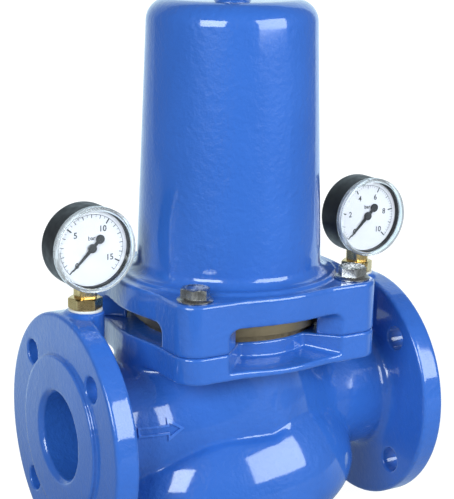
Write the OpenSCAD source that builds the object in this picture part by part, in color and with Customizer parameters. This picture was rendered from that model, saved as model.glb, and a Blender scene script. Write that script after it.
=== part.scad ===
// Flanged pressure reducing valve, DN 65 PN 16, with an inlet and an outlet pressure gauge.
// Millimetres, +Z up, flow from -X to +X. The origin is on the valve's vertical axis, at
// the underside of the body; the gauges face -Y.

/* [Pipe connections] */
// Distance between the two raised flange faces
face_to_face = 290; // [280:1:300]
// Bore of the two ports
port_d = 65; // [60:1:68]
// Outer diameter of the flanges
flange_d = 185; // [182:1:190]
// Thickness of the flanges, raised face included
flange_t = 21; // [19:0.5:22]
// Diameter of the raised face
raised_face_d = 122; // [118:1:124]
// Height of the raised face
raised_face_h = 3; // [2:0.5:3]
// Bolt circle of the flanges
bolt_circle_d = 145; // [144:1:146]
// Flange bolt holes, diameter
bolt_hole_d = 19; // [17:0.5:20]

/* [Body] */
// Height of the pipe axis above the underside of the body
pipe_height = 98; // [97:1:100]
// Radius of the bowl under the seat
bowl_r = 88; // [86:1:90]
// Shift of the bowl towards the outlet
bowl_shift = 8; // [6:1:9]
// Height of the bowl's upper edge above the pipe axis
bowl_top = 2; // [0:0.5:3]
// Radius of the barrel between bowl and cover flange
barrel_r = 70; // [69:0.5:71]
// Radius of the necks behind the pipe flanges
neck_r = 46; // [45:0.5:47]
// Distance of the gauge connections from the valve axis
gauge_x = 121.5; // [121:0.5:122]

/* [Cover flanges] */
// Height of the joint between body and bonnet above the pipe axis
joint_height = 72.5; // [72:0.5:73]
// Thickness of the body's cover flange
cover_t = 20; // [19:0.5:21]
// Half the side of the square cover flanges
cover_half = 85; // [84:0.5:86]
// Distance of the cover bolts from both middle planes
cover_bolt = 68; // [67.5:0.5:68.5]
// Width of the diagonal posts that carry the bonnet
post_w = 50; // [46:1:52]

/* [Bonnet] */
// Height of the bonnet's bolt seats above the pipe axis
seat_height = 111; // [110:0.5:112]
// Height of the bonnet's flat top above the pipe axis
bonnet_top = 317; // [315:1:319]
// Radius of the column at its foot
column_foot_r = 70; // [69:0.5:70]
// Radius of the column at its shoulder
column_top_r = 64; // [63:0.5:65]

/* [Setting] */
// Radius of the adjusting screw
screw_r = 8; // [7.5:0.5:8.5]
// Radius of the spring wire
wire_r = 4.8; // [4:0.1:5]
// Number of active coils of the range spring
active_turns = 6; // [5:1:7]
// Stroke of the valve from open to closed
stroke = 10; // [9:0.5:10]

/* [Gauges] */
// Radius of the gauge cases
case_r = 31; // [30.5:0.5:31.5]
// Height of the pointer shafts above the pipe axis
pointer_height = 143; // [143:0.5:144]

/* [Hidden] */
$fn = 96;

// Heights above the underside of the body
z_pipe = pipe_height;
z_joint = z_pipe + joint_height;
z_seat = z_pipe + seat_height;
z_top = z_pipe + bonnet_top;
z_gauge = z_pipe + pointer_height;

// Colours
blue = "#2f6ad0";
bronze = "#b08d4c";
brass = "#c9a24a";
steel = "#b9bcc0";
rubber = "#2a2a2c";

// Clearances: a running fit, and how far a cut runs past the face it opens
run = 0.05;
past = 1;
// How far two shapes of one piece run into each other, so that they join
overlap = 0.5;

// Pipe flanges
face_x = face_to_face / 2;
back_x = face_x - flange_t;
edge_r = 2.5;
port_chamfer = 3;
port_len = 32;
channel_r = port_d / 2 + 1;
neck_fillet_r = 12;
boss_root = 5;

// Body
wall = 9;
bowl_corner_r = 32;
ridge_r = 30;
chamber_r = 60;
channel_end = 43;
partition_t = 10;
z_partition = z_pipe - 36;
insert_bore_r = 40;
boss_r = 14;
z_boss = z_pipe + 94;
tapping_r = 8.35;
tapping_depth = 12;
passage_r = 3;
land_r = 69;
pocket_depth = 10;
pocket_fall = 11;
pocket_half = cover_half - 5;
arrow_x = -103;
arrow_rise = 11;
arrow_len = 35;
arrow_h = 1.3;

// Cover joint
corner_r = cover_half - cover_bolt;
bulge_r = 90;
bolt_r = 6;
bolt_clear_r = 6.75;
bolt_collar_r = 13.2;
bolt_collar_h = 2.5;
bolt_collar_slope = 0.8;
bolt_af = 19;
bolt_head_h = 8;
bolt_end = 16;
clamp_height = 18;
post_face_r = 78;
z_clamp = z_joint + clamp_height;

// Bonnet
shoulder_r = 13;
skirt_r = 81;
skirt_h = 14;
flare_r = 15;
skirt_edge_h = 2;
column_foot_h = 23;
chamber_foot_r = 59;
chamber_top_r = 56;
crown_t = 13;
screw_boss_r = 13;
screw_boss_h = 14;
z_screw_boss = z_top + screw_boss_h;

// Adjusting train, measured at rest
washer_t = 2.5;
washer_r = 15;
washer_gap = 0.4;
nut_t = 13;
nut_af = 24;
z_plate = z_pipe + 270;
plate_t = 6;
plate_r = 50;
ball_r = 6;
ball_seat_r = 12;
ball_seat_h = 14;
z_ball = z_plate + 15;
z_screw_end = z_ball + ball_r;
thread_above = 24;
head_t = 12;
head_af = 13;

// Insert, diaphragm and moving set, measured at rest with the valve open
insert_r = 59.9;
insert_low_r = 39.9;
insert_flange_r = 73;
flange_in_h = 9.5;
diaphragm_t = 3;
diaphragm_r = land_r + 7;
z_diaphragm = z_clamp - diaphragm_t;
cup_r = 53;
cup_floor_t = 8;
funnel_h = 18;
z_cup = z_pipe + 46;
z_sleeve = z_pipe + 20;
piston_r = 27;
sleeve_r = 33;
cord_r = 1.9;
groove_h = 4.4;
groove_d = 3.8;
z_groove_up = z_cup + 12;
z_groove_low = z_partition + 3;
window_r = 16;
stem_r = 7;
stem_core_r = 10;
z_hub = z_diaphragm - stroke;
hub_r = 36;
spring_mean_r = 40;
spring_guide_r = spring_mean_r - wire_r - 0.7;
guide_h = 6;
web_t = 5.5;
cup_bore_r = 24;
lower_plate_r = 52;
z_spring = z_hub + 24.5;
seat_bore_r = 27;
seat_ring_h = 14;
lip_h = 2;
lip_t = 2;
z_lip = z_pipe - 42;
disc_r = 36;
seal_t = 6;
z_seal = z_lip - stroke - run;
z_piston = z_pipe + 28;
piston_h = 20;
hub_plate_t = 5;
z_cross = z_piston + piston_h + 12;
disc_t = 8;
retainer_t = 3;
retainer_lap = 2.5;
seal_bore_r = 17;
disc_rim_t = 2;
stem_end = 2;
stem_nut_af = 21;
stem_nut_t = 10;
balance_bore_r = 2.5;

// Gauges, measured from the pointer shaft; y runs from front (negative) to back
case_back = 9.5;
case_front = -14;
case_wall = 3;
case_floor_t = 2;
window_front = -20;
window_t = 1.6;
window_lap = 0.5;
window_wall = 2.2;
dial_t = 0.8;
dial_hole_r = 1.5;
dial_back = -10.4;
dial_front = dial_back - dial_t;
gear_module = 0.3;
pinion_teeth = 10;
gear_ratio = 10;
tooth_root = 0.24;
tooth_tip = 0.1;
root_depth = 1.2 * gear_module;
pinion_r = gear_module * pinion_teeth / 2;
sector_r = gear_ratio * pinion_r;
gear_gap = sector_r + pinion_r;
sector_side = 230;
sector_low = 14;
sector_high = 56;
sector_hub_r = 2;
sector_x = gear_gap * cos(sector_side);
sector_z = gear_gap * sin(sector_side);
arbor_r = 0.8;
arbor_front = dial_front - 2;
hand_t = 0.6;
hand_len = 21.5;
hand_half = 1.1;
hand_point = 0.25;
hand_tail = 8;
hand_gap = 0.9;
knob_r = 2.4;
knob_t = 1.6;
press = 0.01;
tube_r = 20.5;
tube_t = 2.4;
tube_w = 7;
tube_wall = 0.4;
tube_start = 76;
tip_angle = 191;
tip_w = 2.8;
tip_lug_t = 0.8;
tip_gap = 0.8;
tip_len = 2;
lug_gap = 0.1;
lug_back = 1.2;
pin_r = 0.5;
link_gap = 0.2;
link_t = 0.8;
link_w = 1.6;
link_eye_r = 1.3;
tip_x = tube_r * cos(tip_angle);
tip_z = tube_r * sin(tip_angle);
tail_r = 6;
tail_w = 2.4;
tail_angle = 78;
tail_x = sector_x + tail_r * cos(tail_angle);
tail_z = sector_z + tail_r * sin(tail_angle);
back_plate_y = 0;
front_plate_y = -8;
gear_y = -3.2;
gear_t = 1;
pin_front = gear_y - 2.4;
bridge_t = 1;
pinion_lead = 0.4;
pillar_r = 1;
pillar_in = 1.4;
bridge_x = -14.5;
bridge_z = -17;
bridge_w = 20;
bridge_h = 15;
bridge_lobe_r = 5;
z_adapter = z_boss + 2;
adapter_h = 8.5;
adapter_af = 22;
neck_bore_r = 6.6;
neck_depth = 4;
seal_r = 12.5;
stem_half = 7;
block_half = 5;
throttle_r = 1.5;
socket_block_top = z_gauge - 17;

// ---------- helpers ----------

// Ring of revolution about the valve axis between two radii and two heights
module ring(r_in, r_out, z0, z1)
    translate([0, 0, z0])
        difference() {
            cylinder(r = r_out, h = z1 - z0);
            translate([0, 0, -past])
                cylinder(r = r_in, h = z1 - z0 + 2 * past);
        }

// Torus about the valve axis
module o_ring(mean_r, cord, z)
    translate([0, 0, z])
        rotate_extrude()
            translate([mean_r, 0])
                circle(r = cord, $fn = 32);

// Cylinder along X between two positions, on the pipe axis
module along_x(r, x0, x1)
    translate([x0, 0, z_pipe])
        rotate([0, 90, 0])
            cylinder(r = r, h = x1 - x0);

// Flat shape drawn in x and z, standing between y_back and y_back - t
module upright(y_back, t)
    translate([0, y_back, 0])
        rotate([90, 0, 0])
            linear_extrude(t)
                children();

// Rod along Y at x and z, between two depths
module rod_y(r, y_back, y_front)
    translate([0, y_back, 0])
        rotate([90, 0, 0])
            cylinder(r = r, h = y_back - y_front);

// Hexagonal prism given its width across flats
module hexagon(af, h)
    cylinder(r = af / 2 / cos(30), h = h, $fn = 6);

// The four corners at the same distance from both middle planes
module at_corners(d)
    for (sx = [-1, 1], sy = [-1, 1])
        translate([sx * d, sy * d, 0])
            children();

// Outline of the cover flanges: a rounded square whose sides bulge to a circle
module cover_outline() {
    square([2 * cover_half, 2 * cover_bolt], center = true);
    square([2 * cover_bolt, 2 * cover_half], center = true);
    at_corners(cover_bolt)
        circle(r = corner_r);
    circle(r = bulge_r);
}

// Two strips along the diagonals, as wide as the posts
module diagonals()
    for (a = [45, 135])
        rotate(a)
            square([4 * cover_half, post_w], center = true);

// ---------- body and bonnet ----------

// Half-profile of a pipe flange: radius by distance along the pipe, from its back face
module flange_profile() {
    rim_t = flange_t - raised_face_h;
    square([flange_d / 2 - edge_r, rim_t]);
    translate([0, edge_r])
        square([flange_d / 2, rim_t - 2 * edge_r]);
    for (x = [edge_r, rim_t - edge_r])
        translate([flange_d / 2 - edge_r, x])
            circle(r = edge_r, $fn = 32);
    square([raised_face_d / 2, flange_t]);
}

// Concave fillet between a neck and the back of its flange
module neck_fillet_profile()
    translate([0, -neck_fillet_r])
        difference() {
            square([neck_r + neck_fillet_r, neck_fillet_r + edge_r]);
            translate([neck_r + neck_fillet_r, 0])
                circle(r = neck_fillet_r);
        }

// One pipe flange with its neck and gauge boss; side is -1 for the inlet, 1 for the outlet
module pipe_end(side) {
    translate([side * back_x, 0, z_pipe])
        rotate([0, side * 90, 0])
            rotate_extrude() {
                flange_profile();
                neck_fillet_profile();
            }
    translate([side * back_x / 2, 0, z_pipe])
        rotate([0, 90, 0])
            cylinder(r = neck_r, h = back_x, center = true);
    translate([side * gauge_x, 0, z_pipe + neck_r - boss_root])
        cylinder(r = boss_r, h = z_boss - z_pipe - neck_r + boss_root);
}

// Half-profile of the bowl, shrunk by the wall for its inside
module bowl_profile(inset) {
    r = bowl_r - inset;
    z0 = inset;
    z1 = z_pipe + bowl_top - inset;
    low_r = bowl_corner_r - inset;
    top_r = ridge_r - inset;
    translate([0, z0])
        square([r - low_r, z1 - z0]);
    translate([0, z0 + low_r])
        square([r, z1 - top_r - z0 - low_r]);
    translate([0, z1 - 2 * top_r])
        square([r - top_r, 2 * top_r]);
    translate([r - low_r, z0 + low_r])
        circle(r = low_r);
    translate([r - top_r, z1 - top_r])
        circle(r = top_r);
}

module bowl(inset)
    translate([bowl_shift, 0, 0])
        rotate_extrude()
            bowl_profile(inset);

// Stepped recess in the body's cover flange, between two corner pads
module front_pocket() {
    floor_z = z_joint - pocket_depth;
    deep = cover_t / 2;
    difference() {
        translate([-pocket_half, -bulge_r - past, floor_z - deep])
            cube([2 * pocket_half, bulge_r / 2, pocket_depth + deep + past]);
        translate([0, 0, floor_z - deep - past])
            cylinder(r = land_r, h = 2 * cover_t);
        translate([0, 0, floor_z - deep - past])
            linear_extrude(2 * cover_t)
                diagonals();
        // The floor falls towards the edge
        translate([-cover_half, -land_r, floor_z])
            rotate([180 + pocket_fall, 0, 0])
                translate([0, -bulge_r, 0])
                    cube([2 * cover_half, 2 * bulge_r, cover_t]);
    }
}

// Raised arrow that points with the flow, on the front of the inlet neck
module flow_arrow() {
    shaft_h = 7;
    head_h = 17;
    head_len = 13;
    intersection() {
        translate([arrow_x, 0, z_pipe + arrow_rise])
            upright(0, neck_r + 5)
                polygon([[0, -shaft_h / 2], [arrow_len - head_len, -shaft_h / 2],
                         [arrow_len - head_len, -head_h / 2], [arrow_len, 0],
                         [arrow_len - head_len, head_h / 2],
                         [arrow_len - head_len, shaft_h / 2], [0, shaft_h / 2]]);
        along_x(neck_r + arrow_h, arrow_x - past, arrow_x + arrow_len + past);
    }
}

module inlet_cavity() {
    along_x(port_d / 2, -face_x - past, -face_x + port_len + past);
    along_x(channel_r, -face_x + port_len, overlap - channel_end);
    translate([0, 0, z_partition + partition_t])
        cylinder(r = chamber_r, h = z_joint - z_partition);
    translate([0, 0, z_partition - past])
        cylinder(r = insert_bore_r, h = partition_t + 2 * past);
}

// Bowl and outlet port, outside the barrel that holds the inlet chamber
module outlet_cavity()
    difference() {
        union() {
            bowl(wall);
            along_x(channel_r, barrel_r + overlap, face_x - port_len);
            along_x(port_d / 2, face_x - port_len - past, face_x + past);
        }
        translate([0, 0, z_partition])
            cylinder(r = barrel_r, h = z_joint);
        along_x(neck_r, -bowl_r, -channel_end);
    }

// Gauge tapping in a flange boss, down to the port
module gauge_tapping(side)
    translate([side * gauge_x, 0, 0]) {
        translate([0, 0, z_boss - tapping_depth])
            cylinder(r = tapping_r, h = tapping_depth + past);
        translate([0, 0, z_pipe + port_d / 4])
            cylinder(r = passage_r, h = z_boss - z_pipe - port_d / 4);
    }

module pipe_end_cuts(side) {
    for (i = [0 : 3])
        translate([side * face_x, 0, z_pipe])
            rotate([45 + 90 * i, 0, 0])
                translate([0, bolt_circle_d / 2, 0])
                    rotate([0, 90, 0])
                        cylinder(r = bolt_hole_d / 2, h = 4 * flange_t, center = true);
    translate([side * (face_x + past), 0, z_pipe])
        rotate([0, -side * 90, 0])
            cylinder(r1 = port_d / 2 + port_chamfer + past, r2 = port_d / 2,
                     h = port_chamfer + past);
    gauge_tapping(side);
}

module valve_body() {
    color(blue)
        difference() {
            union() {
                difference() {
                    union() {
                        bowl(0);
                        for (side = [-1, 1])
                            pipe_end(side);
                        translate([0, 0, z_partition])
                            cylinder(r = barrel_r, h = z_joint - z_partition - cover_t / 2);
                        translate([0, 0, z_joint - cover_t])
                            linear_extrude(cover_t)
                                cover_outline();
                    }
                    outlet_cavity();
                }
                flow_arrow();
            }
            inlet_cavity();
            for (side = [-1, 1])
                pipe_end_cuts(side);
            front_pocket();
            mirror([0, 1, 0])
                front_pocket();
            translate([0, 0, z_joint - bolt_end - past])
                at_corners(cover_bolt)
                    cylinder(r = bolt_r + run, h = bolt_end + 2 * past);
        }
}

// Half-profile of the bonnet's outside above its flange
module bonnet_profile() {
    difference() {
        union() {
            polygon([[0, z_seat - past], [column_foot_r, z_seat - past],
                     [column_foot_r, z_seat + column_foot_h],
                     [column_top_r, z_top - shoulder_r],
                     [column_top_r - shoulder_r, z_top], [0, z_top]]);
            translate([column_top_r - shoulder_r, z_top - shoulder_r])
                circle(r = shoulder_r);
            translate([0, z_seat - past])
                square([skirt_r, skirt_h + past]);
        }
        translate([column_foot_r + flare_r - overlap, z_seat + flare_r + skirt_edge_h])
            circle(r = flare_r);
    }
    translate([0, z_top - past])
        square([screw_boss_r, screw_boss_h + past]);
}

module bonnet() {
    color(blue)
        difference() {
            union() {
                translate([0, 0, z_clamp])
                    linear_extrude(z_seat - z_clamp)
                        cover_outline();
                translate([0, 0, z_joint])
                    linear_extrude(clamp_height + past)
                        intersection() {
                            cover_outline();
                            diagonals();
                        }
                rotate_extrude()
                    bonnet_profile();
            }
            // Room for the insert's flange between the posts
            translate([0, 0, z_joint - past])
                cylinder(r = post_face_r, h = clamp_height + past);
            translate([0, 0, z_clamp - past])
                cylinder(r1 = chamber_foot_r, r2 = chamber_top_r,
                         h = z_top - crown_t - z_clamp + past);
            translate([0, 0, z_top - crown_t - past])
                cylinder(r = screw_r + run, h = crown_t + screw_boss_h + 2 * past);
            translate([0, 0, z_joint - past])
                at_corners(cover_bolt)
                    cylinder(r = bolt_clear_r, h = z_seat - z_joint + 2 * past);
        }
}

module bonnet_bolts() {
    color(steel)
        at_corners(cover_bolt) {
            translate([0, 0, z_joint - bolt_end])
                cylinder(r = bolt_r, h = z_seat - z_joint + bolt_end + past);
            translate([0, 0, z_seat])
                cylinder(r1 = bolt_collar_r, r2 = bolt_collar_r - bolt_collar_slope,
                         h = bolt_collar_h);
            translate([0, 0, z_seat + bolt_collar_h - overlap])
                hexagon(bolt_af, bolt_head_h);
        }
}

// ---------- setting ----------

module adjusting_screw() {
    z_head = z_screw_boss + washer_t + nut_t + thread_above;
    color(steel) {
        translate([0, 0, z_screw_end])
            cylinder(r = screw_r, h = z_head - z_screw_end);
        translate([0, 0, z_head - past])
            hexagon(head_af, head_t + past);
    }
}

module lock_nut() {
    color(steel)
        translate([0, 0, z_screw_boss + washer_t])
            difference() {
                hexagon(nut_af, nut_t);
                translate([0, 0, -past])
                    cylinder(r = screw_r + run, h = nut_t + 2 * past);
            }
}

module lock_washer() {
    color(steel)
        ring(screw_r + washer_gap, washer_r, z_screw_boss, z_screw_boss + washer_t);
}

module thrust_ball() {
    color(steel)
        translate([0, 0, z_ball])
            sphere(r = ball_r);
}

module upper_spring_plate() {
    color(steel)
        difference() {
            union() {
                translate([0, 0, z_plate])
                    cylinder(r = plate_r, h = plate_t);
                translate([0, 0, z_plate - guide_h])
                    cylinder(r = spring_guide_r, h = guide_h + overlap);
                translate([0, 0, z_plate])
                    cylinder(r = ball_seat_r, h = ball_seat_h);
            }
            translate([0, 0, z_ball])
                sphere(r = ball_r + run);
        }
}

// Height of the wire's centre after t turns: closed end coils, open coils between them
function coil_z(t) =
    let (low = z_spring + wire_r,
         high = z_plate - wire_r,
         closed = 2 * wire_r * 1.02,
         open = (high - low - 2 * closed) / active_turns)
    t < 1 ? low + closed * t
          : t < 1 + active_turns ? low + closed + open * (t - 1)
          : high - closed * (2 + active_turns - t);

module range_spring() {
    per_turn = 24;
    sides = 10;
    steps = per_turn * (active_turns + 2);
    points = [for (i = [0 : steps], j = [0 : sides - 1])
        let (a = 360 * i / per_turn,
             b = 360 * j / sides,
             r = spring_mean_r + wire_r * cos(b))
        [r * cos(a), r * sin(a), coil_z(i / per_turn) + wire_r * sin(b)]];
    walls = [for (i = [0 : steps - 1], j = [0 : sides - 1])
        let (k = (j + 1) % sides)
        [i * sides + j, (i + 1) * sides + j, (i + 1) * sides + k, i * sides + k]];
    ends = [[for (j = [0 : sides - 1]) j],
            [for (j = [sides - 1 : -1 : 0]) steps * sides + j]];
    color(steel)
        polyhedron(points, concat(walls, ends));
}

// ---------- diaphragm and moving set ----------

module lower_spring_plate() {
    z_web = z_hub + diaphragm_t;
    color(steel) {
        ring(stem_r + run, hub_r, z_web, z_web + web_t);
        ring(cup_bore_r, hub_r, z_web + web_t - overlap, z_spring - plate_t + overlap);
        ring(cup_bore_r, lower_plate_r, z_spring - plate_t, z_spring);
        ring(cup_bore_r, spring_guide_r, z_spring - overlap, z_spring + guide_h);
    }
}

module hex_nut_on_stem(z)
    translate([0, 0, z])
        difference() {
            hexagon(stem_nut_af, stem_nut_t);
            translate([0, 0, -past])
                cylinder(r = stem_r + run, h = stem_nut_t + 2 * past);
        }

module stem_nut() {
    color(steel)
        hex_nut_on_stem(z_hub + diaphragm_t + web_t);
}

module diaphragm() {
    color(rubber)
        rotate_extrude()
            polygon([[stem_r + run, z_hub], [hub_r + 1, z_hub],
                     [chamber_foot_r, z_diaphragm], [diaphragm_r, z_diaphragm],
                     [diaphragm_r, z_clamp], [chamber_foot_r - 1, z_clamp],
                     [hub_r, z_hub + diaphragm_t], [stem_r + run, z_hub + diaphragm_t]]);
}

module diaphragm_plate() {
    color(brass)
        ring(stem_r + run, hub_r, z_hub - hub_plate_t, z_hub);
}

module stem_spacer() {
    color(steel)
        difference() {
            ring(stem_r + run, stem_core_r, z_piston + piston_h, z_hub - hub_plate_t);
            translate([0, 0, z_cross])
                rotate([0, 90, 0])
                    cylinder(r = balance_bore_r, h = 3 * stem_core_r, center = true);
        }
}

module valve_stem() {
    z_low = z_seal - seal_t - disc_t - stem_nut_t - stem_end;
    z_high = z_hub + diaphragm_t + web_t + stem_nut_t + stem_end;
    z_core = z_seal + retainer_t;
    color(steel)
        difference() {
            union() {
                translate([0, 0, z_low])
                    cylinder(r = stem_r, h = z_high - z_low);
                translate([0, 0, z_core])
                    cylinder(r = stem_core_r, h = z_piston - z_core);
            }
            translate([0, 0, z_low - past])
                cylinder(r = balance_bore_r, h = z_cross - z_low + past);
            translate([0, 0, z_cross])
                rotate([0, 90, 0])
                    cylinder(r = balance_bore_r, h = 3 * stem_r, center = true);
        }
}

module balance_piston() {
    z_groove = z_piston + (piston_h - groove_h) / 2;
    color(brass)
        difference() {
            ring(stem_r + run, piston_r, z_piston, z_piston + piston_h);
            ring(piston_r - groove_d - run, piston_r + past, z_groove, z_groove + groove_h);
        }
}

module piston_seal() {
    color(rubber)
        o_ring(piston_r - cord_r - run, cord_r, z_piston + piston_h / 2);
}

module valve_insert() {
    z_flange = z_diaphragm - flange_in_h;
    color(bronze)
        difference() {
            union() {
                ring(cup_r, insert_flange_r, z_flange, z_diaphragm);
                ring(cup_r, land_r - 2, z_joint, z_flange + past);
                ring(cup_r, insert_r, z_cup, z_joint + past);
                ring(piston_r + run, insert_r, z_cup, z_cup + cup_floor_t);
                ring(piston_r + run, insert_low_r, z_sleeve, z_cup + past);
                ring(sleeve_r, insert_low_r, z_partition - 2, z_sleeve + past);
            }
            // The mouth opens upward so the diaphragm can hang into it
            translate([0, 0, z_diaphragm - funnel_h])
                cylinder(r1 = cup_r, r2 = chamber_foot_r + 1, h = funnel_h + run);
            for (a = [0 : 60 : 120])
                translate([0, 0, z_pipe])
                    rotate([90, 0, a])
                        cylinder(r = window_r, h = 3 * insert_r, center = true);
            ring(insert_r - groove_d, insert_r + past, z_groove_up, z_groove_up + groove_h);
            ring(insert_low_r - groove_d, insert_low_r + past,
                 z_groove_low, z_groove_low + groove_h);
        }
}

module insert_upper_oring() {
    color(rubber)
        o_ring(insert_r - cord_r + run, cord_r, z_groove_up + groove_h / 2);
}

module insert_lower_oring() {
    color(rubber)
        o_ring(insert_low_r - cord_r + run, cord_r, z_groove_low + groove_h / 2);
}

module seat_ring() {
    color(steel) {
        ring(seat_bore_r, sleeve_r, z_lip + lip_h, z_lip + lip_h + seat_ring_h);
        ring(seat_bore_r, seat_bore_r + lip_t, z_lip, z_lip + lip_h + overlap);
    }
}

module valve_disc() {
    color(brass) {
        ring(stem_r + run, disc_r, z_seal - seal_t - disc_t, z_seal - seal_t);
        ring(stem_r + run, seal_bore_r, z_seal - seal_t - overlap, z_seal);
        ring(disc_r - disc_rim_t, disc_r, z_seal - seal_t - overlap, z_seal - 1);
    }
}

module disc_seal() {
    color(rubber)
        ring(seal_bore_r, disc_r - disc_rim_t, z_seal - seal_t, z_seal);
}

module seal_retainer() {
    color(steel)
        ring(stem_r + run, seal_bore_r + retainer_lap, z_seal, z_seal + retainer_t);
}

module disc_nut() {
    color(steel)
        hex_nut_on_stem(z_seal - seal_t - disc_t - stem_nut_t);
}

// ---------- gauges; side is -1 for the inlet, 1 for the outlet ----------

// Moves a piece drawn about the pointer shaft to one of the two gauges
module at_gauge(side)
    translate([side * gauge_x, 0, z_gauge])
        children();

module adapter(side)
    color(brass)
        translate([side * gauge_x, 0, 0])
            difference() {
                union() {
                    translate([0, 0, z_boss - tapping_depth + past])
                        cylinder(r = tapping_r - run, h = tapping_depth + 2 * past);
                    translate([0, 0, z_adapter])
                        hexagon(adapter_af, adapter_h);
                }
                translate([0, 0, z_adapter - neck_depth])
                    cylinder(r = neck_bore_r, h = adapter_h + neck_depth + past);
                translate([0, 0, z_boss - tapping_depth])
                    cylinder(r = passage_r, h = tapping_depth + neck_depth);
            }

module adapter_seal(side)
    color("#e8e6df")
        translate([side * gauge_x, 0, 0])
            ring(tapping_r + run, seal_r, z_boss, z_adapter);

module socket(side)
    color(brass)
        translate([side * gauge_x, 0, 0])
            difference() {
                union() {
                    translate([0, 0, z_adapter + past - neck_depth])
                        cylinder(r = neck_bore_r - run, h = adapter_h + neck_depth);
                    translate([-stem_half, -stem_half, z_adapter + adapter_h])
                        cube([2 * stem_half, 2 * stem_half,
                              z_gauge - case_r - z_adapter - adapter_h + past]);
                    translate([-block_half, -block_half - past, z_gauge - case_r])
                        cube([2 * block_half, 2 * (block_half + past),
                              socket_block_top - z_gauge + case_r]);
                }
                translate([0, 0, z_adapter - neck_depth])
                    cylinder(r = throttle_r, h = socket_block_top - z_adapter + past);
            }

// Black cup: open to the front, with a slot for the socket in its lower wall
module case(side)
    color("#1b1c1e")
        at_gauge(side)
            difference() {
                rod_y(case_r, case_back, case_front);
                rod_y(case_r - case_wall, case_back - case_floor_t, case_front - past);
                translate([-stem_half - run, -stem_half - run, -case_r - past])
                    cube([2 * (stem_half + run), 2 * (stem_half + run), case_wall + 2 * past]);
            }

module window(side)
    color("#dfe8ee", 0.35)
        at_gauge(side)
            difference() {
                rod_y(case_r + window_lap, case_front, window_front);
                rod_y(case_r + window_lap - window_wall, case_front + past,
                      window_front + window_t);
            }

module dial(side)
    color("#f4f4f0")
        at_gauge(side)
            difference() {
                rod_y(case_r - case_wall - run, dial_back, dial_front);
                rod_y(dial_hole_r, dial_back + past, dial_front - past);
            }

// The pointer stands at zero, low on the left, and turns clockwise seen from the front
module pointer(side)
    color("#151515")
        at_gauge(side)
            difference() {
                union() {
                    rotate([0, 45, 0])
                        upright(dial_front - hand_gap, hand_t) {
                            polygon([[-hand_len, -hand_point], [0, -hand_half],
                                     [0, hand_half], [-hand_len, hand_point]]);
                            translate([0, -0.7 * hand_half])
                                square([hand_tail, 1.4 * hand_half]);
                            translate([hand_tail, 0])
                                circle(r = knob_r);
                        }
                    rod_y(knob_r, dial_front - hand_gap, dial_front - hand_gap - knob_t);
                }
                rod_y(arbor_r + press, dial_front, arbor_front);
            }

// Spur teeth as a flat outline; the teeth are narrow, which leaves backlash
module teeth(pitch_r, count, first, last) {
    root_r = pitch_r - 1.3 * gear_module;
    tip_r = pitch_r + 0.8 * gear_module;
    for (i = [first : last])
        rotate(360 * i / count)
            polygon([[root_r, -tooth_root], [tip_r, -tooth_tip],
                     [tip_r, tooth_tip], [root_r, tooth_root]]);
}

module pinion(side)
    color(brass)
        at_gauge(side) {
            rod_y(arbor_r, back_plate_y, arbor_front);
            upright(gear_y + pinion_lead, gear_t + 2 * pinion_lead)
                rotate(sector_side + 180 / pinion_teeth) {
                    circle(r = pinion_r - root_depth, $fn = 32);
                    teeth(pinion_r, pinion_teeth, 0, pinion_teeth - 1);
                }
        }

// Two plates with pillars; they carry the pinion and the sector arbor
module movement_outline() {
    difference() {
        union() {
            translate([bridge_x, bridge_z])
                square([bridge_w, bridge_h]);
            circle(r = bridge_lobe_r);
        }
        circle(r = arbor_r + run);
        translate([sector_x, sector_z])
            circle(r = arbor_r + run);
    }
}

module movement(side)
    color(brass)
        at_gauge(side) {
            for (y = [back_plate_y, front_plate_y])
                upright(y, bridge_t)
                    movement_outline();
            for (place = [[bridge_x + bridge_w - pillar_in, bridge_z + pillar_in],
                          [bridge_x + pillar_in, bridge_z + bridge_h - pillar_in]])
                translate([place[0], 0, place[1]])
                    rod_y(pillar_r, back_plate_y - overlap, dial_back);
        }

module sector(side)
    color(brass)
        at_gauge(side)
            translate([sector_x, 0, sector_z]) {
                rod_y(arbor_r, back_plate_y, front_plate_y - bridge_t);
                upright(gear_y, gear_t) {
                    circle(r = sector_hub_r);
                    intersection() {
                        circle(r = sector_r - root_depth);
                        polygon([[-1, -1],
                                 2 * sector_r * [cos(sector_low), sin(sector_low)],
                                 2 * sector_r * [cos(sector_high), sin(sector_high)],
                                 [-1, 1]]);
                    }
                    rotate(sector_side - 180)
                        teeth(sector_r, gear_ratio * pinion_teeth, -9, 1);
                    rotate(tail_angle)
                        translate([0, -tail_w / 2])
                            square([tail_r, tail_w]);
                    translate([tail_x - sector_x, tail_z - sector_z])
                        circle(r = tail_w / 2);
                }
                translate([tail_x - sector_x, 0, tail_z - sector_z])
                    rod_y(pin_r, gear_y - gear_t / 2, pin_front);
            }

module link(side) {
    len = norm([tip_x - tail_x, tip_z - tail_z]);
    angle = atan2(tip_z - tail_z, tip_x - tail_x);
    color(steel)
        at_gauge(side)
            difference() {
                translate([tail_x, 0, tail_z])
                    rotate([0, -angle, 0])
                        upright(gear_y - gear_t - link_gap, link_t) {
                            translate([0, -link_w / 2])
                                square([len, link_w]);
                            for (end = [0, len])
                                translate([end, 0])
                                    circle(r = link_eye_r);
                        }
                for (end = [[tail_x, tail_z], [tip_x, tip_z]])
                    translate([end[0], 0, end[1]])
                        rod_y(pin_r + run, gear_y, pin_front - past);
            }
}

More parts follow.
